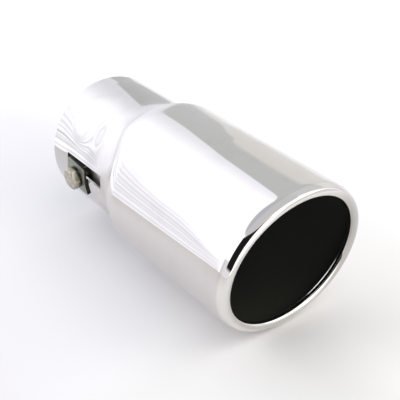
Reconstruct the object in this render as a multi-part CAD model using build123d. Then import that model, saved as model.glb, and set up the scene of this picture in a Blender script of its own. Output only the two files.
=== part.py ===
from build123d import *
import math
import os

# Tube axis is X, the inlet's centre is the origin, +X runs to the mouth and +Z is up.
NECK_R = 32.6
BODY_R = 38.0
WALL = 1.0
SHOULDER_START = 40.0
SHOULDER_END = 60.0
SPLIT_X = 100.0

MOUTH_X = 148.15
MOUTH_SLANT = 0.2
LEAD_R = 12.0
LEAD_TURN = 25
BEAD_R = 2.35
CURL_TURN = 250

SLOT_START = 14.0
SLOT_END = 46.0
SLOT_LOW = 2.4
SLOT_HIGH = 9.0
SLOT_CORNER = 0.9

SCREW_X = 23.7
SCREW_NOTCH = 6.6
SHANK_R = 2.95
SHANK_LENGTH = 20.0
HEAD_FLATS = 10.0
HEAD_HEIGHT = 3.4
HEAD_FACE_SHARE = 0.94
HEAD_SLOPE = 32
RUNNING_GAP = 0.05

PLATE_WIDTH = 16.6
PLATE_TOP = 7.6
PLATE_BOTTOM = -7.7
PLATE_THICKNESS = 1.1
PLATE_CORNER = 1.6
PLATE_TURN = 5
PLATE_SEAT_R = 6.2
SEAT_RISE = 0.9

WASHER_R = 5.4
WASHER_BORE_R = 3.05
WASHER_THICKNESS = 1.0
WASHER_GAP = 0.9
WASHER_GAP_TURN = 28
WASHER_GAP_SLOPE = 20

JAW_START = 2.0
JAW_END = 43.0
JAW_HEIGHT = 15.0
JAW_STANDOFF = 4.2
JAW_SLACK = 1.8
JAW_THICKNESS = 2.0
JAW_PAD_R = 6.5
JAW_CORNER = 2.0
JAW_PAD_SINK = 1.0

NUT_HEIGHT = 5.0
NUT_BORE_R = 3.0
THREAD_CHAMFER = 0.7
OVERCUT = 1.0

# Places that follow from the neck: the washer's seat on the plate, and the jaw opened inside the wall.
PLATE_SEAT_Y = -(NECK_R + SEAT_RISE)
JAW_FACE_Y = -(NECK_R - WALL - JAW_STANDOFF)
JAW_R = NECK_R - WALL - JAW_SLACK


def shoulder_arcs(offset):
    """Two tangent arcs from neck to body, for the outer skin (0) or a skin lying deeper by offset."""
    run = (SHOULDER_END - SHOULDER_START) / 2
    rise = (BODY_R - NECK_R) / 2
    radius = (run ** 2 + rise ** 2) / (2 * rise)
    turn = math.asin(run / radius)
    low_r = radius + offset
    high_r = radius - offset
    low_c = (SHOULDER_START, NECK_R + radius)
    high_c = (SHOULDER_END, BODY_R - radius)

    def on_low(angle):
        return (low_c[0] + low_r * math.sin(angle), low_c[1] - low_r * math.cos(angle))

    def on_high(angle):
        return (high_c[0] - high_r * math.sin(angle), high_c[1] + high_r * math.cos(angle))

    first = ThreePointArc(on_low(0), on_low(turn / 2), on_low(turn))
    second = ThreePointArc(on_low(turn), on_high(turn / 2), on_high(0))
    return first, second


def front_part():
    """Neck, shoulder and the start of the body, turned about X."""
    end = SPLIT_X + BODY_R
    out_low, out_high = shoulder_arcs(0)
    in_low, in_high = shoulder_arcs(WALL)
    edges = [
        Line((0, NECK_R), (SHOULDER_START, NECK_R)),
        out_low,
        out_high,
        Line((SHOULDER_END, BODY_R), (end, BODY_R)),
        Line((end, BODY_R), (end, BODY_R - WALL)),
        Line((end, BODY_R - WALL), (SHOULDER_END, BODY_R - WALL)),
        in_high,
        in_low,
        Line((SHOULDER_START, NECK_R - WALL), (0, NECK_R - WALL)),
        Line((0, NECK_R - WALL), (0, NECK_R)),
    ]
    turned = revolve(make_face(edges), axis=Axis.X)
    cut = Plane(origin=(SPLIT_X, 0, 0), z_dir=(1, 0, -MOUTH_SLANT))
    return split(turned, bisect_by=cut, keep=Keep.BOTTOM)


def mouth_part():
    """Straight body with its inward-rolled rim, turned about X and then slanted along X.

    The sheet leans in on a wide lead arc before it rolls into the tight curl, whose centre is at MOUTH_X.
    """
    step = LEAD_R - BEAD_R
    lead_x = MOUTH_X - step * math.sin(math.radians(LEAD_TURN))
    curl_y = BODY_R - LEAD_R + step * math.cos(math.radians(LEAD_TURN))

    def arc(centre, radius, start, end):
        points = []
        for turn in (start, (start + end) / 2, end):
            angle = math.radians(90 - turn)
            points.append((centre[0] + radius * math.cos(angle), centre[1] + radius * math.sin(angle)))
        return ThreePointArc(*points)

    lead = (lead_x, BODY_R - LEAD_R)
    curl = (MOUTH_X, curl_y)
    outer = arc(curl, BEAD_R, LEAD_TURN, CURL_TURN)
    inner = arc(curl, BEAD_R - WALL, CURL_TURN, LEAD_TURN)
    edges = [
        Line((SPLIT_X, BODY_R), (lead_x, BODY_R)),
        arc(lead, LEAD_R, 0, LEAD_TURN),
        outer,
        Line(outer @ 1, inner @ 0),
        inner,
        arc(lead, LEAD_R - WALL, LEAD_TURN, 0),
        Line((lead_x, BODY_R - WALL), (SPLIT_X, BODY_R - WALL)),
        Line((SPLIT_X, BODY_R - WALL), (SPLIT_X, BODY_R)),
    ]
    turned = revolve(make_face(edges), axis=Axis.X)
    slant = Matrix([[1, 0, MOUTH_SLANT, 0], [0, 1, 0, 0], [0, 0, 1, 0]])
    return turned.solid().transform_geometry(slant)


def neck_side():
    """Sketch plane half-way down to the neck's -Y side, drawing toward it: X across and Z up."""
    return Plane(origin=(0, -NECK_R / 2, 0), x_dir=(1, 0, 0), z_dir=(0, -1, 0))


def slot_cutter():
    """Window slot in the neck's side with the notch that the screw drops into."""
    middle = ((SLOT_START + SLOT_END) / 2, (SLOT_LOW + SLOT_HIGH) / 2)
    slot = Pos(*middle) * RectangleRounded(SLOT_END - SLOT_START, SLOT_HIGH - SLOT_LOW, SLOT_CORNER)
    notch = Pos(SCREW_X, SLOT_LOW / 2) * Rectangle(SCREW_NOTCH, SLOT_LOW + OVERCUT)
    foot = Pos(SCREW_X, 0) * Circle(SCREW_NOTCH / 2)
    outline = slot + notch + foot
    return extrude(neck_side() * outline, amount=NECK_R)


def along_screw(y):
    """Sketch plane across the screw at height y, drawing toward the outside of the neck."""
    return Plane(origin=(SCREW_X, y, 0), x_dir=(1, 0, 0), z_dir=(0, -1, 0))


def hexagon(flats):
    return RegularPolygon(flats / math.sqrt(3), 6)


def rounding_cone(y, flats, height):
    """Turned blank whose outer corner trims a hexagon's points at its outer end."""
    corner = flats / math.sqrt(3) + RUNNING_GAP
    face_r = flats / 2 * HEAD_FACE_SHARE
    drop = (corner - face_r) * math.tan(math.radians(HEAD_SLOPE))
    edges = Polyline((0, 0), (corner, 0), (corner, height - drop), (face_r, height), (0, height), close=True)
    blank = revolve(Plane.XZ * make_face(edges), axis=Axis.Z)
    return along_screw(y).location * blank


def make_shell():
    shell = front_part() + mouth_part()
    return shell - slot_cutter()


def make_plate():
    length = PLATE_WIDTH + 4 * OVERCUT
    tube = Rot(0, 90, 0) * Cylinder(NECK_R + PLATE_THICKNESS, length)
    core = Rot(0, 90, 0) * Cylinder(NECK_R, length + 2 * OVERCUT)
    band = Pos(SCREW_X, 0, 0) * (tube - core)
    outline = RectangleRounded(PLATE_WIDTH, PLATE_TOP - PLATE_BOTTOM, PLATE_CORNER)
    turned = Rot(0, 0, -PLATE_TURN) * Pos(0, (PLATE_TOP + PLATE_BOTTOM) / 2) * outline
    plate = band & extrude(neck_side() * (Pos(SCREW_X, 0) * turned), amount=NECK_R)
    seat = extrude(along_screw(PLATE_SEAT_Y) * Circle(PLATE_SEAT_R), amount=PLATE_THICKNESS)
    hole = extrude(along_screw(-NECK_R / 2) * Circle(SCREW_NOTCH / 2), amount=NECK_R)
    return plate - seat - hole


def make_washer():
    ring = Circle(WASHER_R) - Circle(WASHER_BORE_R)
    washer = extrude(along_screw(PLATE_SEAT_Y) * ring, amount=WASHER_THICKNESS)
    gap = Box(WASHER_GAP, 3 * WASHER_THICKNESS, WASHER_R)
    slanted = Pos(0, 0, (WASHER_R + WASHER_BORE_R) / 2) * Rot(0, 0, WASHER_GAP_SLOPE) * gap
    turned = Rot(0, WASHER_GAP_TURN, 0) * slanted
    return washer - Pos(SCREW_X, PLATE_SEAT_Y - WASHER_THICKNESS / 2, 0) * turned


def make_screw():
    under_head = PLATE_SEAT_Y - WASHER_THICKNESS - RUNNING_GAP
    head = extrude(along_screw(under_head) * hexagon(HEAD_FLATS), amount=HEAD_HEIGHT)
    head = head & rounding_cone(under_head, HEAD_FLATS, HEAD_HEIGHT)
    end = under_head + SHANK_LENGTH
    shank = extrude(along_screw(end) * Circle(SHANK_R), amount=SHANK_LENGTH)
    tip = shank.edges().filter_by(GeomType.CIRCLE).sort_by(Axis.Y)[-1]
    shank = chamfer(tip, THREAD_CHAMFER)
    return head + shank


def jaw_inner_y():
    """Height of the flat pad on the jaw's inner side that the nut sits on."""
    inner_r = JAW_R - JAW_THICKNESS
    axis_y = JAW_FACE_Y + JAW_R
    return axis_y - math.sqrt(inner_r ** 2 - JAW_PAD_R ** 2)


def make_jaw():
    length = JAW_END - JAW_START
    middle = (JAW_START + JAW_END) / 2
    axis_y = JAW_FACE_Y + JAW_R
    tube = Rot(0, 90, 0) * Cylinder(JAW_R, length)
    core = Rot(0, 90, 0) * Cylinder(JAW_R - JAW_THICKNESS, length + 2 * OVERCUT)
    band = Pos(middle, axis_y, 0) * (tube - core)
    depth = JAW_HEIGHT / 2
    side = Plane(origin=(middle, JAW_FACE_Y + depth, 0), x_dir=(1, 0, 0), z_dir=(0, -1, 0))
    outline = RectangleRounded(length, JAW_HEIGHT, JAW_CORNER)
    jaw = band & extrude(side * outline, amount=depth + OVERCUT)
    pad_y = jaw_inner_y()
    pad = extrude(along_screw(pad_y) * Circle(JAW_PAD_R), amount=pad_y - JAW_FACE_Y - JAW_PAD_SINK)
    hole_depth = pad_y - JAW_FACE_Y + 2 * OVERCUT
    hole = extrude(along_screw(pad_y + OVERCUT) * Circle(SCREW_NOTCH / 2), amount=hole_depth)
    return jaw + pad - hole


def make_nut():
    base = jaw_inner_y() + NUT_HEIGHT
    nut = extrude(along_screw(base) * hexagon(HEAD_FLATS), amount=NUT_HEIGHT)
    nut = nut & rounding_cone(base, HEAD_FLATS, NUT_HEIGHT)
    bore = extrude(along_screw(base + OVERCUT) * Circle(NUT_BORE_R), amount=NUT_HEIGHT + 2 * OVERCUT)
    return nut - bore


os.makedirs("parts", exist_ok=True)
export_step(make_shell(), "parts/tip_shell.step")
export_step(make_plate(), "parts/clamp_plate.step")
export_step(make_washer(), "parts/spring_washer.step")
export_step(make_screw(), "parts/clamp_screw.step")
export_step(make_jaw(), "parts/clamp_jaw.step")
export_step(make_nut(), "parts/jaw_nut.step")
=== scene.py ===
import math

import bmesh
import bpy
from mathutils import Matrix, Vector


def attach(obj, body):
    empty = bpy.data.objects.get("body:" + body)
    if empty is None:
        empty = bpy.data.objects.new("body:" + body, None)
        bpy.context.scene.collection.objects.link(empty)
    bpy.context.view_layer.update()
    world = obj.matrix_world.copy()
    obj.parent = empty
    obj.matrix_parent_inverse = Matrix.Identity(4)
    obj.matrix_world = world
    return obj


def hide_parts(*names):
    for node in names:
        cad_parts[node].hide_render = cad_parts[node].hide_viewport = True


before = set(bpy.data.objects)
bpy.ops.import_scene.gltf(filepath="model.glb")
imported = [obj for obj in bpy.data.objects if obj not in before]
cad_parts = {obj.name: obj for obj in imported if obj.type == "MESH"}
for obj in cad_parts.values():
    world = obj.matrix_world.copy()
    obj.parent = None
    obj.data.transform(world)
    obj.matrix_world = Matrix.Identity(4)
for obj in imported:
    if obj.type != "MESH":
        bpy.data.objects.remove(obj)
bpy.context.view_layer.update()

MM = 0.001

# Tip shell, in millimetres and degrees as the maker's drawing gives them.
NECK_R = 32.6
BODY_R = 38.0
WALL = 1.0
SHOULDER_START = 40.0
SHOULDER_END = 60.0
MOUTH_X = 148.15
MOUTH_SLANT = 0.2
LEAD_R = 12.0
LEAD_TURN = 25
BEAD_R = 2.35
CURL_TURN = 250

# On the slot's side the neck stays straight for longer: where the shoulder starts and ends there, where
# that fades out again, that side's direction in Y and Z, and the cosines between which it takes hold.
SLOT_SIDE_START = 46.5
SLOT_SIDE_END = 66.0
SLOT_SIDE_FADE = 100.0
SLOT_SIDE_WAY = (-0.98, 0.2)
SLOT_SIDE_COSINES = (0.6, 0.96)

# Slot in the neck, the screw's notch under it, and the patch of the neck that they are cut from.
SLOT_X = (14.0, 46.0)
SLOT_Z = (2.4, 9.0)
NOTCH_HALF = 3.3
PATCH_X = (8.0, 52.0)
PATCH_Y = -20.0
PATCH_Z = (-6.0, 12.0)

# How finely the shell's profile and its turn are divided, the bend past which an edge stays sharp, and
# how far inward a face has to look to take the lining.
NECK_STEPS = 20
BEND_STEPS = 18
BODY_STEPS = 40
LEAD_STEPS = 12
CURL_STEPS = 44
AROUND = 288
SHELL_CREASE = math.radians(35)
INWARD_LOOK = -0.2

# Shallow dents and bulges that pressing leaves by the slot and on top: centre, radius, height.
DENTS = (
    ((26.0, -19.0, 26.5), 17.0, -1.0),
    ((42.0, -21.0, 25.0), 12.0, 0.45),
    ((90.0, 16.0, 34.5), 13.0, 0.1),
    ((116.0, 8.0, 37.1), 14.0, -0.12),
    ((0.0, 14.0, 29.5), 14.0, -0.3),
)

# Height of the sheet's waves, and the patch by the slot that is rougher than the rest.
WAVE_HEIGHT = 0.8
SCUFFED_AT = (55.0, -35.0, 5.0)
SCUFFED_R = 17.0

# The plate's faces that look less outward than this are its sheared sides.
PLATE_FACE_TILT = 0.6

# Softened edges of the small pieces, and the bend past which an edge is softened.
PLATE_EDGE = 0.1
JAW_EDGE = 0.25
SMALL_EDGE = 0.12
EDGE_ANGLE = math.radians(40)

# Clamp screw: an M6 hex screw whose axis runs along Y.
SCREW_X = 23.7
UNDER_HEAD = -34.55
SHANK_LENGTH = 20.0
HEAD_HEIGHT = 3.4
HEAD_FLATS = 10.0
HEAD_TURN = math.radians(30)
HEAD_FACE_SHARE = 0.94
HEAD_TRIMS = 24
HEAD_SLOPE = math.radians(32)
HEAD_EDGE = 0.12
HEAD_EDGE_ANGLE = math.radians(20)
SCREW_CREASE = math.radians(28)

# Thread: THREAD_LEAD is how far inside the head it starts, and THREAD_FORM is one pitch's profile as
# shares of the pitch with their radii.
THREAD_CREST = 2.95
THREAD_ROOT = 2.4
PITCH = 1.0
THREAD_LEAD = 0.4
THREAD_FORM = (
    (0.0, THREAD_ROOT),
    (0.12, THREAD_ROOT),
    (0.46, THREAD_CREST),
    (0.62, THREAD_CREST),
    (1.0, THREAD_ROOT),
)
STEPS_A_TURN = 28

# The core that fills the thread, which stops short of the shank's two ends, and the tapered point.
CORE_START = 0.1
CORE_SHORT = 0.3
CORE_GAP = 0.05
CORE_SIDES = 32
POINT_LENGTH = 0.7
POINT_TAPER = 0.5

# Camera: its place in millimetres, its own axes, its lens, and how near it sees, in metres.
CAMERA_AT = (407.3, -205.4, 248.5)
CAMERA_RIGHT = (0.5800, 0.8099, -0.0875)
CAMERA_UP = (-0.4007, 0.3772, 0.8349)
CAMERA_LENS = 88.06
CAMERA_SENSOR = 36.0
CAMERA_SHIFT = (-0.0024, -0.0035)
CAMERA_NEAR = 0.01

# Floor, in metres: a round sheet, its middle, and a point and the direction of its straight edge.
FLOOR_R = 0.33
FLOOR_SIDES = 96
FLOOR_AT = (-0.03, 0.10)
FLOOR_EDGE_AT = (-0.033, -0.176, 0.0)
FLOOR_EDGE_WAY = (-0.57, -0.82, 0.0)

# Colours of the finishes, from darker to lighter where there are two.
BLACK = (0.0, 0.0, 0.0)
SHEET = (0.68, 0.655, 0.635)
# The rim's two colours paint light into the polish: a painted brighter reflection on the bead, and painted
# shade on its far side.
RIM = (0.78, 0.755, 0.735)
RIM_FAR_SIDE = (0.58, 0.56, 0.545)
LINING = ((0.019, 0.021, 0.016), (0.028, 0.030, 0.023))
ZINC = ((0.205, 0.212, 0.18), (0.33, 0.335, 0.295))
# The next colour is painted shade on the plate's cut sides.
PLATE_SIDE_SHADE = ((0.028, 0.028, 0.024), (0.042, 0.042, 0.036))
# The next colour runs from painted shade on the jaw to its pale primer.
SHADE_TO_PRIMER = ((0.05, 0.052, 0.045), (0.92, 0.92, 0.9))
NICKEL = ((0.36, 0.325, 0.255), (0.58, 0.545, 0.47))
SPRING_STEEL = ((0.035, 0.034, 0.026), (0.16, 0.155, 0.13))
# The paper's colours are painted light and shade on the floor: lit towards +X, and greyer where shade is
# painted.
PAPER_LIT = ((0.825, 0.82, 0.835), (0.855, 0.848, 0.84))
PAPER_SIDE_SHADE = (0.745, 0.74, 0.765)
PAPER_FRONT_SHADE = (0.73, 0.725, 0.72)
PAPER_BEHIND_SHADE = (0.715, 0.71, 0.74)
PAPER_LEFT_SHADE = (0.64, 0.61, 0.595)
PAPER_EDGE_SHADE = (0.6, 0.565, 0.54)

# Brightness of the tent's cloth, of its folds and of what shows past it.
CLOTH = 1.85
CLOTH_FALLOFF = 0.68
FOLD_DEPTH = 0.85
FOLD_LOST_IN_SHADE = 0.42
SHADE_DEPTH = 0.36
RIGHT_WALL = 0.85
GAP = 0.77
LOW_GAP = 0.95
CEILING = 0.72
FLANK = 0.98
ROOM = 0.015

# The tent's seam, as a line on the sky: the X of one point on it, its slope, and its height there.
SEAM_AT = -0.67
SEAM_SLOPE = 4.3
SEAM_HEIGHT = 0.06

# Folds of the cloth fan out along the seam: their spread at that point, their least spread and their foot.
FAN_SPREAD = 0.4
FAN_LEAST = 0.3
FAN_FOOT = -0.17

# Edges of the two gaps: the left one has a kink in plan and leans above its foot, the right one bows.
GAP_LEFT_SLOPES = (0.788, 0.6)
GAP_LEFT_KINK = -0.094
GAP_LEFT_FOOT = 0.25
GAP_LEFT_LEAN = 0.38
GAP_RIGHT_SLOPE = 0.93
GAP_RIGHT_BOW = 1.2
GAP_RIGHT_MIDDLE = 0.15

# Colour of the cloth from its cool to its warm side, and of the two gaps.
CLOTH_COOL = (0.945, 0.965, 1.05)
CLOTH_WARM = (1.0, 0.985, 0.96)
GAP_TONE = (0.945, 0.975, 1.0)
LOW_GAP_TONE = (0.985, 0.985, 0.97)


class Shade:
    """A shader socket that maths can be written on; node() adds any other node to the same tree."""

    def __init__(self, tree, socket=None):
        self.tree = tree
        self.socket = socket

    def node(self, kind, settings=None, sockets=None, out=0):
        """Adds a node, sets it, then gives its sockets their values or links."""
        made = self.tree.nodes.new(kind)
        for name, value in (settings or {}).items():
            setattr(made, name, value)
        for name, value in (sockets or {}).items():
            if isinstance(value, Shade):
                self.tree.links.new(value.socket, made.inputs[name])
            else:
                made.inputs[name].default_value = value
        return Shade(self.tree, made.outputs[out])

    def maths(self, operation, first, second):
        return self.node("ShaderNodeMath", {"operation": operation}, {0: first, 1: second})

    def __add__(self, other):
        return self.maths("ADD", self, other)

    def __radd__(self, other):
        return self.maths("ADD", other, self)

    def __sub__(self, other):
        return self.maths("SUBTRACT", self, other)

    def __rsub__(self, other):
        return self.maths("SUBTRACT", other, self)

    def __mul__(self, other):
        return self.maths("MULTIPLY", self, other)

    def __rmul__(self, other):
        return self.maths("MULTIPLY", other, self)

    def __truediv__(self, other):
        return self.maths("DIVIDE", self, other)

    def __rtruediv__(self, other):
        return self.maths("DIVIDE", other, self)

    def step(self, low, high):
        """0 below low, 1 above high, smooth between."""
        return self.node("ShaderNodeMapRange", {"interpolation_type": "SMOOTHSTEP"},
                         {"Value": self, "From Min": low, "From Max": high})

    def fall(self, low, high):
        """1 below low, 0 above high, smooth between."""
        return 1 - self.step(low, high)

    def toward(self, target, share):
        """This value where share is 0, the target where it is 1."""
        return self + (target - self) * share

    def tint(self, low, high):
        """Colour running from low to high, each a colour or a Shade, as this value goes from 0 to 1."""
        ends = [end if isinstance(end, Shade) else (*end, 1.0) for end in (low, high)]
        return self.node("ShaderNodeMix", {"data_type": "RGBA"}, {0: self, 6: ends[0], 7: ends[1]}, out=2)


def new_finish(name):
    """An empty material, its tree's Shade, its shader node and the object coordinates."""
    material = bpy.data.materials.new(name)
    material.use_nodes = True
    shade = Shade(material.node_tree)
    place = shade.node("ShaderNodeTexCoord", out=3)
    return material, shade, material.node_tree.nodes["Principled BSDF"], place


def feed(shade, shader, **sockets):
    """Gives a shader's sockets their values or links, with an underscore for each space in a name."""
    for name, value in sockets.items():
        socket = shader.inputs[name.replace("_", " ")]
        if isinstance(value, Shade):
            shade.tree.links.new(value.socket, socket)
        else:
            socket.default_value = value


def split(shade, place):
    """The X, Y and Z of a place or a direction."""
    parted = shade.node("ShaderNodeSeparateXYZ", {}, {"Vector": place})
    return [Shade(shade.tree, socket) for socket in parted.socket.node.outputs]


def noise(shade, place, scale, detail, rough):
    return shade.node("ShaderNodeTexNoise", {},
                      {"Vector": place, "Scale": scale, "Detail": detail, "Roughness": rough})


def stretched(shade, place, scale):
    return shade.node("ShaderNodeMapping", {}, {"Vector": place, "Scale": scale})


def bump(shade, height, distance):
    return shade.node("ShaderNodeBump", {}, {"Height": height, "Distance": distance, "Strength": 1.0})


def dent(shade, place, centre, radius):
    """1 at the centre, falling smoothly to 0 at the radius, both in millimetres."""
    scale = 1 / (radius * MM)
    near = shade.node("ShaderNodeMapping", {}, {"Vector": place, "Scale": (scale, scale, scale),
                                                "Location": [-part / radius for part in centre]})
    ball = shade.node("ShaderNodeTexGradient", {"gradient_type": "SPHERICAL"}, {"Vector": near}, out=1)
    return ball.step(0.0, 1.0)


def mirror_polish():
    """Buffed stainless sheet: mirror bright, with the soft waves that drawing leaves, more on the neck."""
    material, shade, shader, place = new_finish("mirror_polish")
    x, y, z = split(shade, place)
    neck = x.fall(30 * MM, 55 * MM)
    slot_side = y.fall(-20 * MM, -4 * MM)
    drawn = stretched(shade, place, (0.8, 1.0, 1.0))
    slow = noise(shade, drawn, scale=48.0, detail=0.0, rough=0.4)
    broad = noise(shade, drawn, scale=26.0, detail=0.0, rough=0.4)
    waves = slow * neck * slot_side * (WAVE_HEIGHT * MM) + broad * (WAVE_HEIGHT * MM)
    for centre, radius, height in DENTS:
        waves = waves + dent(shade, place, centre, radius) * (height * MM)
    buffing = noise(shade, stretched(shade, place, (30.0, 400.0, 400.0)), scale=9.0, detail=2.0, rough=0.6)
    shoulder = x.step(36 * MM, 45 * MM) * x.fall(53 * MM, 66 * MM)
    scuffed = dent(shade, place, SCUFFED_AT, SCUFFED_R).step(0.0, 0.6)
    rough = buffing * 0.018 + 0.02 + shoulder * 0.28 + scuffed * 0.35
    haze = noise(shade, place, scale=90.0, detail=3.0, rough=0.6)
    bright = (haze * 0.2 + 0.9) * (1 - 0.12 * neck)
    # The bead is painted lighter than the sheet as a painted brighter reflection, and greyer towards +Y as
    # painted shade.
    rim = (x - z * MOUTH_SLANT).step((MOUTH_X - BEAD_R) * MM, (MOUTH_X - BEAD_R / 2) * MM)
    rim_tone = y.step(14 * MM, 30 * MM).tint(RIM, RIM_FAR_SIDE)
    tone = rim.tint(bright.tint(BLACK, SHEET), rim_tone)
    feed(shade, shader, Base_Color=tone, Metallic=1.0, Roughness=rough, Normal=bump(shade, waves, 1.0))
    return material


def black_lining():
    """Matt black heat paint inside the tip, a little dusty."""
    material, shade, shader, place = new_finish("black_lining")
    dust = noise(shade, place, scale=180.0, detail=4.0, rough=0.6)
    soot = noise(shade, place, scale=30.0, detail=2.0, rough=0.5)
    feed(shade, shader, Base_Color=soot.tint(*LINING), Roughness=dust * 0.2 + 0.6,
         Specular_IOR_Level=0.15, Normal=bump(shade, dust, 0.08 * MM))
    return material


def dull_zinc():
    """Zinc-plated pressed sheet: grey, mottled, with faint rolling lines."""
    material, shade, shader, place = new_finish("dull_zinc")
    cloud = noise(shade, place, scale=320.0, detail=4.0, rough=0.65)
    rolled = stretched(shade, place, (40.0, 1500.0, 1500.0))
    lines = noise(shade, rolled, scale=4.0, detail=2.0, rough=0.5)
    feed(shade, shader, Base_Color=cloud.step(0.3, 0.7).tint(*ZINC), Metallic=0.85,
         Roughness=cloud * 0.2 + 0.34, Normal=bump(shade, lines + cloud * 0.6, 0.03 * MM))
    return material


def shaded_plate_sides():
    """The plate's cut sides, painted near black with a faint mottle: painted shade along the plate's edges.
    """
    material, shade, shader, place = new_finish("shaded_plate_sides")
    side_noise = noise(shade, stretched(shade, place, (1.0, 0.2, 1.0)), scale=900.0, detail=3.0, rough=0.6)
    feed(shade, shader, Base_Color=side_noise.tint(*PLATE_SIDE_SHADE), Metallic=0.85,
         Roughness=side_noise * 0.2 + 0.34, Normal=bump(shade, side_noise, 0.03 * MM))
    return material


def primer_with_painted_shade():
    """Pale primer on the jaw's far end; towards the inlet, where the screw goes through, the jaw is painted
    dark as painted shade.
    """
    material, shade, shader, place = new_finish("primer_with_painted_shade")
    x = split(shade, place)[0]
    scuffs = noise(shade, stretched(shade, place, (1.0, 6.0, 6.0)), scale=220.0, detail=3.0, rough=0.6)
    # Short of 27 to 34 mm along X the jaw is painted dark: painted shade.
    out_of_shade = x.step(27 * MM, 34 * MM) * (scuffs * 0.3 + 0.7)
    feed(shade, shader, Base_Color=out_of_shade.tint(*SHADE_TO_PRIMER), Roughness=scuffs * 0.2 + 0.45,
         Normal=bump(shade, scuffs, 0.03 * MM))
    return material


def nickel_plate():
    """Warm satin nickel on the screw and nut, with turning marks and patches of tarnish."""
    material, shade, shader, place = new_finish("nickel_plate")
    tarnish = noise(shade, place, scale=420.0, detail=3.0, rough=0.6)
    turned = stretched(shade, place, (900.0, 60.0, 900.0))
    marks = noise(shade, turned, scale=3.0, detail=2.0, rough=0.5)
    feed(shade, shader, Base_Color=tarnish.step(0.3, 0.75).tint(*NICKEL), Metallic=1.0,
         Roughness=tarnish * 0.2 + 0.24, Normal=bump(shade, marks, 0.03 * MM))
    return material


def dark_spring_steel():
    """Oil-blackened spring steel: dark, with a worn sheen."""
    material, shade, shader, place = new_finish("dark_spring_steel")
    wear = noise(shade, place, scale=500.0, detail=3.0, rough=0.6)
    feed(shade, shader, Base_Color=wear.step(0.45, 0.8).tint(*SPRING_STEEL), Metallic=0.9,
         Roughness=wear * 0.22 + 0.2, Normal=bump(shade, wear, 0.04 * MM))
    return material


def pale_floor():
    """White paper with painted light and shade: lit towards +X, with painted shade on the slot's side, in
    front of the mouth, behind the neck and at its cut edge.
    """
    material, shade, shader, place = new_finish("pale_floor")
    x, y, _ = split(shade, place)
    fibre = noise(shade, place, scale=700.0, detail=3.0, rough=0.6)
    lit = x.step(0.05, 0.14).tint(*PAPER_LIT)
    side = y.fall(-0.13, 0.0) + fibre * 0.06
    front = x.step(0.11, 0.145) * y.fall(-0.015, 0.02)
    behind = x.fall(-0.09, 0.0) * x.step(-0.2, -0.11) * y.fall(-0.01, 0.05)
    left = (x * FLOOR_EDGE_WAY[0] + y * FLOOR_EDGE_WAY[1]).step(0.07, 0.2) + y.fall(-0.14, -0.06) * 0.3
    near_edge = y.fall(-0.2, -0.1) * x.step(0.0, 0.08)
    tone = side.tint(lit, PAPER_SIDE_SHADE)
    tone = front.tint(tone, PAPER_FRONT_SHADE)
    tone = behind.tint(tone, PAPER_BEHIND_SHADE)
    tone = left.tint(tone, PAPER_LEFT_SHADE)
    tone = near_edge.tint(tone, PAPER_EDGE_SHADE)
    feed(shade, shader, Base_Color=tone, Roughness=0.75, Specular_IOR_Level=0.2)
    return material


def whole(bm):
    return bm.verts[:] + bm.edges[:] + bm.faces[:]


def sharpen(bm, crease):
    """Shades every face smooth and keeps the edges that bend more than the crease sharp."""
    for face in bm.faces:
        face.smooth = True
    for edge in bm.edges:
        if len(edge.link_faces) == 2 and edge.calc_face_angle() > crease:
            edge.smooth = False


def add_piece(name, bm, *materials):
    """Makes the bmesh an object at the origin with these materials."""
    mesh = bpy.data.meshes.new(name)
    bm.to_mesh(mesh)
    bm.free()
    piece = bpy.data.objects.new(name, mesh)
    bpy.context.scene.collection.objects.link(piece)
    for material in materials:
        mesh.materials.append(material)
    return piece


def last_verts(made):
    return [part for part in made["geom_last"] if isinstance(part, bmesh.types.BMVert)]


def draw_line(bm, pen, length, steps):
    """Carries the profile on from the pen's vertex along X."""
    made = bmesh.ops.spin(bm, geom=pen, cent=(0, 0, 0), axis=(0, 1, 0), dvec=(length / steps, 0, 0),
                          angle=0.0, steps=steps, use_duplicate=False)
    return last_verts(made)


def draw_arc(bm, pen, centre, turn, steps):
    """Carries the profile on round a centre given as (x, radius), turning in the XZ plane."""
    made = bmesh.ops.spin(bm, geom=pen, cent=(centre[0], 0, centre[1]), axis=(0, 1, 0), dvec=(0, 0, 0),
                          angle=turn, steps=steps, use_duplicate=False)
    return last_verts(made)


def draw_profile(bm):
    """The shell's outer line from the neck's end over the shoulder and the body to the end of the curl."""
    run = (SHOULDER_END - SHOULDER_START) / 2
    rise = (BODY_R - NECK_R) / 2
    radius = (run ** 2 + rise ** 2) / (2 * rise)
    turn = math.asin(run / radius)
    lean = math.radians(LEAD_TURN)
    lead_x = MOUTH_X - (LEAD_R - BEAD_R) * math.sin(lean)
    curl_r = BODY_R - LEAD_R + (LEAD_R - BEAD_R) * math.cos(lean)
    pen = [bm.verts.new((0, 0, NECK_R))]
    pen = draw_line(bm, pen, SHOULDER_START, NECK_STEPS)
    pen = draw_arc(bm, pen, (SHOULDER_START, NECK_R + radius), -turn, BEND_STEPS)
    pen = draw_arc(bm, pen, (SHOULDER_END, BODY_R - radius), turn, BEND_STEPS)
    pen = draw_line(bm, pen, lead_x - SHOULDER_END, BODY_STEPS)
    pen = draw_arc(bm, pen, (lead_x, BODY_R - LEAD_R), lean, LEAD_STEPS)
    draw_arc(bm, pen, (MOUTH_X, curl_r), math.radians(CURL_TURN) - lean, CURL_STEPS)


def slant_share(x):
    """How much of the mouth's slant the shell takes at x: none at the shoulder, all of it at the rim."""
    share = (x - SHOULDER_END) / (MOUTH_X - 2 * BEAD_R - SHOULDER_END)
    return min(max(share, 0.0), 1.0)


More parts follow.
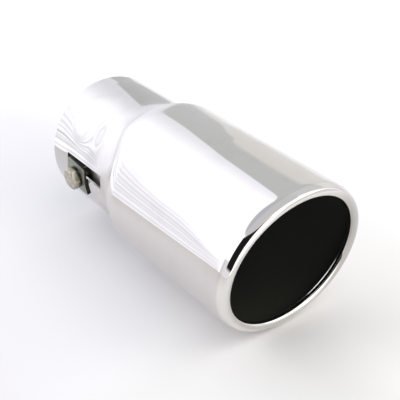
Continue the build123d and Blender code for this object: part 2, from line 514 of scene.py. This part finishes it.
def slot_side_shift(place):
    """How far the shoulder is moved along X at a place on the slot's side."""
    side = (SLOT_SIDE_WAY[0] * place.y + SLOT_SIDE_WAY[1] * place.z) / math.hypot(place.y, place.z)
    low, high = SLOT_SIDE_COSINES
    share = min(max((side - low) / (high - low), 0.0), 1.0)
    share = share * share * (3 - 2 * share)
    start = SLOT_SIDE_START - SHOULDER_START
    end = SLOT_SIDE_END - SHOULDER_END
    if place.x < SHOULDER_START:
        shift = start * place.x / SHOULDER_START
    elif place.x < SHOULDER_END:
        shift = start + (end - start) * (place.x - SHOULDER_START) / (SHOULDER_END - SHOULDER_START)
    else:
        shift = end * max(1 - (place.x - SHOULDER_END) / (SLOT_SIDE_FADE - SHOULDER_END), 0.0)
    return share * shift


def slot_patch(bm):
    """The neck's faces round the slot."""
    patch = []
    for face in bm.faces:
        middle = face.calc_center_median()
        beside = PATCH_X[0] < middle.x < PATCH_X[1] and PATCH_Z[0] < middle.z < PATCH_Z[1]
        if beside and middle.y < PATCH_Y:
            patch.append(face)
    return patch


def cut_slot(bm):
    """Opens the slot and the screw's notch in the neck's -Y side."""
    planes = [((x, 0, 0), (1, 0, 0)) for x in (*SLOT_X, SCREW_X - NOTCH_HALF, SCREW_X + NOTCH_HALF)]
    planes += [((0, 0, z), (0, 0, 1)) for z in (*SLOT_Z, -NOTCH_HALF)]
    for place, normal in planes:
        faces = slot_patch(bm)
        edges = {edge for face in faces for edge in face.edges}
        verts = {vert for face in faces for vert in face.verts}
        bmesh.ops.bisect_plane(bm, geom=[*verts, *edges, *faces], dist=1e-4, plane_co=place, plane_no=normal)
    gone = []
    for face in slot_patch(bm):
        middle = face.calc_center_median()
        in_slot = SLOT_X[0] < middle.x < SLOT_X[1] and SLOT_Z[0] < middle.z < SLOT_Z[1]
        in_notch = abs(middle.x - SCREW_X) < NOTCH_HALF and -NOTCH_HALF < middle.z < SLOT_Z[1]
        if in_slot or in_notch:
            gone.append(face)
    bmesh.ops.delete(bm, geom=gone, context="FACES")


def face_outward(bm):
    """Turns the open skin so that the neck's top looks up."""
    bmesh.ops.recalc_face_normals(bm, faces=bm.faces[:])
    neck = [face for face in bm.faces if face.calc_center_median().x < SHOULDER_START / 2]
    top = max(neck, key=lambda face: face.calc_center_median().z)
    if top.normal.z < 0:
        bmesh.ops.reverse_faces(bm, faces=bm.faces[:])


def make_shell(polish, lining):
    """The drawn sheet: its outer skin is turned, slanted at the mouth, slotted and thickened."""
    bm = bmesh.new()
    draw_profile(bm)
    bmesh.ops.spin(bm, geom=bm.verts[:] + bm.edges[:], cent=(0, 0, 0), axis=(1, 0, 0), dvec=(0, 0, 0),
                   angle=2 * math.pi, steps=AROUND, use_merge=True, use_duplicate=False)
    for vert in bm.verts:
        slant = MOUTH_SLANT * vert.co.z * slant_share(vert.co.x)
        vert.co.x += slant + slot_side_shift(vert.co)
    cut_slot(bm)
    face_outward(bm)
    bmesh.ops.solidify(bm, geom=bm.faces[:], thickness=WALL)
    bm.normal_update()
    for face in bm.faces:
        middle = face.calc_center_median()
        outward = Vector((0, middle.y, middle.z)).normalized()
        before_rim = middle.x - MOUTH_SLANT * middle.z < MOUTH_X - BEAD_R
        if before_rim and face.normal.dot(outward) < INWARD_LOOK:
            face.material_index = 1
    sharpen(bm, SHELL_CREASE)
    bmesh.ops.scale(bm, vec=(MM, MM, MM), verts=bm.verts[:])
    return add_piece("polished_shell", bm, polish, lining)


def trim_corners(bm, top, slope):
    """Turns the points off a hexagon's outer end with a ring of slanted cuts."""
    for number in range(HEAD_TRIMS):
        angle = 2 * math.pi * number / HEAD_TRIMS
        outward = Vector((math.cos(angle), 0, math.sin(angle)))
        normal = (outward * math.sin(slope) + Vector((0, -1, 0)) * math.cos(slope)).normalized()
        place = outward * (HEAD_FLATS / 2 * HEAD_FACE_SHARE) + Vector((0, top, 0))
        cut = bmesh.ops.bisect_plane(bm, geom=whole(bm), dist=1e-4, plane_co=place, plane_no=normal,
                                     clear_outer=True)
        rim = [part for part in cut["geom_cut"] if isinstance(part, bmesh.types.BMEdge)]
        if rim:
            bmesh.ops.holes_fill(bm, edges=rim, sides=0)


def along_screw(y):
    """Stands a cone on the screw's axis with its middle at y."""
    return Matrix.Translation((0, y, 0)) @ Matrix.Rotation(math.radians(90), 4, "X")


def shape_head(bm):
    """The hex head, with its points turned off and its edges broken."""
    corner_r = HEAD_FLATS / math.sqrt(3)
    bmesh.ops.create_cone(bm, cap_ends=True, segments=6, radius1=corner_r, radius2=corner_r,
                          depth=HEAD_HEIGHT, matrix=along_screw(UNDER_HEAD - HEAD_HEIGHT / 2))
    bmesh.ops.rotate(bm, verts=bm.verts[:], cent=(0, 0, 0), matrix=Matrix.Rotation(HEAD_TURN, 3, "Y"))
    trim_corners(bm, UNDER_HEAD - HEAD_HEIGHT, HEAD_SLOPE)
    bent = [edge for edge in bm.edges if edge.calc_face_angle(0) > HEAD_EDGE_ANGLE]
    bmesh.ops.bevel(bm, geom=bent, offset=HEAD_EDGE, segments=2, profile=0.5, affect="EDGES", material=-1)


def shape_shank(bm):
    """The shank: a helical thread wound from one pitch's profile, its core and its point."""
    start = UNDER_HEAD - THREAD_LEAD
    form = [bm.verts.new((0, start + share * PITCH, radius)) for share, radius in THREAD_FORM]
    for low, high in zip(form, form[1:]):
        bm.edges.new((low, high))
    turns = SHANK_LENGTH / PITCH - 1
    bmesh.ops.spin(bm, geom=bm.verts[:] + bm.edges[:], cent=(0, 0, 0), axis=(0, 1, 0),
                   dvec=(0, PITCH / STEPS_A_TURN, 0), angle=2 * math.pi * turns,
                   steps=round(turns * STEPS_A_TURN), use_duplicate=False)
    bmesh.ops.remove_doubles(bm, verts=bm.verts[:], dist=0.01)
    bmesh.ops.recalc_face_normals(bm, faces=bm.faces[:])
    core_r = THREAD_ROOT - CORE_GAP
    core_end = SHANK_LENGTH - CORE_SHORT
    bmesh.ops.create_cone(bm, cap_ends=True, segments=CORE_SIDES, radius1=core_r, radius2=core_r,
                          depth=core_end - CORE_START,
                          matrix=along_screw(UNDER_HEAD + (CORE_START + core_end) / 2))
    bmesh.ops.create_cone(bm, cap_ends=True, segments=CORE_SIDES, radius1=THREAD_ROOT - POINT_TAPER,
                          radius2=THREAD_ROOT, depth=POINT_LENGTH,
                          matrix=along_screw(UNDER_HEAD + SHANK_LENGTH - POINT_LENGTH / 2))


def make_screw(nickel):
    """Hex head with its turned-off points, and a shank cut with a real helical thread."""
    bm = bmesh.new()
    shape_head(bm)
    shank = bmesh.new()
    shape_shank(shank)
    spare = bpy.data.meshes.new("shank_spare")
    shank.to_mesh(spare)
    shank.free()
    bm.from_mesh(spare)
    bpy.data.meshes.remove(spare)
    sharpen(bm, SCREW_CREASE)
    bmesh.ops.translate(bm, vec=(SCREW_X, 0, 0), verts=bm.verts[:])
    bmesh.ops.scale(bm, vec=(MM, MM, MM), verts=bm.verts[:])
    return add_piece("threaded_screw", bm, nickel)


def dress_node(name, material, edge):
    """Gives a piece from the drawing its finish and softens its edges."""
    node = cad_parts[name]
    node.data.materials.clear()
    node.data.materials.append(material)
    soft = node.modifiers.new("soft_edges", "BEVEL")
    soft.width = edge * MM
    soft.segments = 2
    soft.limit_method = "ANGLE"
    soft.angle_limit = EDGE_ANGLE
    return node


def darken_sides(plate, material):
    """Gives the plate's sheared sides their painted shade finish."""
    plate.data.materials.append(material)
    for face in plate.data.polygons:
        if face.normal.y > -PLATE_FACE_TILT:
            face.material_index = 1


def make_floor(material):
    """A round sheet of paper, cut straight on the slot's side."""
    bm = bmesh.new()
    bmesh.ops.create_circle(bm, cap_ends=True, segments=FLOOR_SIDES, radius=FLOOR_R,
                            matrix=Matrix.Translation((*FLOOR_AT, -BODY_R * MM)))
    bmesh.ops.bisect_plane(bm, geom=whole(bm), dist=1e-6, plane_co=FLOOR_EDGE_AT, plane_no=FLOOR_EDGE_WAY,
                           clear_outer=True)
    add_piece("floor", bm, material)


def cloth_folds(shade, x, y, z, seam):
    """Fine folds that fan out over the tent's left side from its shaded corner."""
    spread = shade.maths("MAXIMUM", (SEAM_AT - x) * SEAM_SLOPE + FAN_SPREAD, FAN_LEAST)
    fanned = shade.node("ShaderNodeCombineXYZ", {}, {"X": x, "Y": y, "Z": (z - FAN_FOOT) / spread})
    layers = noise(shade, stretched(shade, fanned, (0.7, 0.7, 14.0)), scale=1.3, detail=1.0, rough=0.5)
    creases = shade.node("ShaderNodeTexWave", {"bands_direction": "Z"},
                         {"Vector": fanned, "Scale": 3.1, "Distortion": 5.0, "Detail": 1.0,
                          "Detail Scale": 0.8})
    folds = layers.step(0.42, 0.7) * 0.6 + creases.step(0.45, 0.95) * 0.6
    folds = folds * y.fall(-0.15, 0.25) * z.fall(0.12, 0.62)
    return folds * (0.6 + 0.4 * z.fall(-0.08, 0.12)) * seam.step(-0.05, 0.2)


def soft_studio():
    """A white tent round the object, grey gaps behind it and the dark of the room on the camera's left."""
    world = bpy.data.worlds.new("soft_studio")
    bpy.context.scene.world = world
    world.use_nodes = True
    shade = Shade(world.node_tree)
    x, y, z = split(shade, shade.node("ShaderNodeTexCoord", out=0))

    # The gaps behind the object, up to their left and right edges, and the ceiling.
    near_slope, far_slope = GAP_LEFT_SLOPES
    plan = shade.maths("MINIMUM", x * near_slope, x * far_slope + GAP_LEFT_KINK)
    lean = shade.maths("MAXIMUM", z, GAP_LEFT_FOOT) * GAP_LEFT_LEAN
    bow = z - GAP_RIGHT_MIDDLE
    right_edge = x * (GAP_RIGHT_SLOPE - GAP_RIGHT_BOW * bow * bow)
    gap = (y + lean + plan).step(-0.01, 0.01) * x.fall(-0.05, 0.25)
    low_gap = (y + right_edge).step(-0.012, 0.012) * x.fall(-0.05, 0.25) * z.fall(0.34, 0.46)
    ceiling = (z - y * 0.2).step(0.75, 0.82) * x.fall(0.2, 0.45)

    # The room past the tent's open side, the flank under it and the wall on the right.
    open_side = y.fall(-0.3, -0.1)
    room = open_side * x.step(-0.24, -0.18) * x.fall(0.52, 0.64)
    room = room * (z + x * 0.35).step(-0.2, -0.1) * (z - x * 0.4).fall(0.66, 0.72)
    flank = open_side * x.step(-0.6, -0.5) * x.fall(0.4, 0.5) * z.fall(0.04, 0.14)
    right_wall = x.step(0.05, 0.4) * y.step(0.0, 0.35) * z.fall(0.22, 0.42)

    # The cloth: dimmer away from the lamps, shaded in the corner under its seam, and folded.
    seam = (SEAM_AT - x) * SEAM_SLOPE + SEAM_HEIGHT - z
    shaded = seam.step(-0.06, 0.2) * x.step(-0.81, -0.75) * y.fall(0.0, 0.3)
    folds = cloth_folds(shade, x, y, z, seam)
    falloff = y.step(-0.15, 0.45) * x.fall(-0.3, 0.0)
    light = CLOTH - CLOTH_FALLOFF * falloff - shaded * SHADE_DEPTH
    light = light - folds * (FOLD_DEPTH - FOLD_LOST_IN_SHADE * shaded)
    light = light.toward(RIGHT_WALL, right_wall).toward(GAP, gap).toward(LOW_GAP, low_gap)
    light = light.toward(CEILING, ceiling).toward(FLANK, flank).toward(ROOM, room)
    tone = x.step(-0.6, 0.6).tint(CLOTH_COOL, CLOTH_WARM)
    tone = gap.tint(tone, GAP_TONE)
    tone = low_gap.tint(tone, LOW_GAP_TONE)
    feed(shade, world.node_tree.nodes["Background"], Color=tone, Strength=light)


def soft_box(name, place, aim, size, power, tone):
    """A round lamp that lights the scene and doesn't show in the polish."""
    lamp = bpy.data.lights.new(name, "AREA")
    lamp.shape = "DISK"
    lamp.size = size
    lamp.energy = power
    lamp.color = tone
    box = bpy.data.objects.new(name, lamp)
    bpy.context.scene.collection.objects.link(box)
    box.location = place
    box.visible_glossy = False
    box.rotation_euler = (Vector(aim) - Vector(place)).to_track_quat("-Z", "Y").to_euler()


def make_camera():
    """The camera at the photograph's viewing angle."""
    lens = bpy.data.cameras.new("camera")
    lens.lens = CAMERA_LENS
    lens.sensor_width = CAMERA_SENSOR
    lens.shift_x, lens.shift_y = CAMERA_SHIFT
    lens.clip_start = CAMERA_NEAR
    camera = bpy.data.objects.new("camera", lens)
    bpy.context.scene.collection.objects.link(camera)
    right = Vector(CAMERA_RIGHT).normalized()
    back = right.cross(Vector(CAMERA_UP)).normalized()
    turned = Matrix((right, back.cross(right), back)).transposed()
    camera.matrix_world = Matrix.Translation(Vector(CAMERA_AT) * MM) @ turned.to_4x4()
    bpy.context.scene.camera = camera


nickel = nickel_plate()

shell = make_shell(mirror_polish(), black_lining())
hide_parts("tip_shell")
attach(shell, "tip")

screw = make_screw(nickel)
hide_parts("clamp_screw")
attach(screw, "screw")

plate = dress_node("clamp_plate", dull_zinc(), PLATE_EDGE)
darken_sides(plate, shaded_plate_sides())
dress_node("clamp_jaw", primer_with_painted_shade(), JAW_EDGE)
dress_node("spring_washer", dark_spring_steel(), SMALL_EDGE)
dress_node("jaw_nut", nickel, SMALL_EDGE)

make_floor(pale_floor())
soft_studio()
soft_box("right_box", place=(0.75, 0.5, 0.6), aim=(0.26, 0.1, 0), size=0.6, power=1.9, tone=(1.0, 0.96, 0.91))
soft_box("left_box", place=(-0.45, -0.75, 0.55), aim=(0.05, -0.08, -0.03), size=0.8, power=4.2,
         tone=(0.98, 0.98, 1.0))
make_camera()

view = bpy.context.scene.view_settings
view.view_transform = "Standard"
view.look = "None"
view.exposure = 0.0
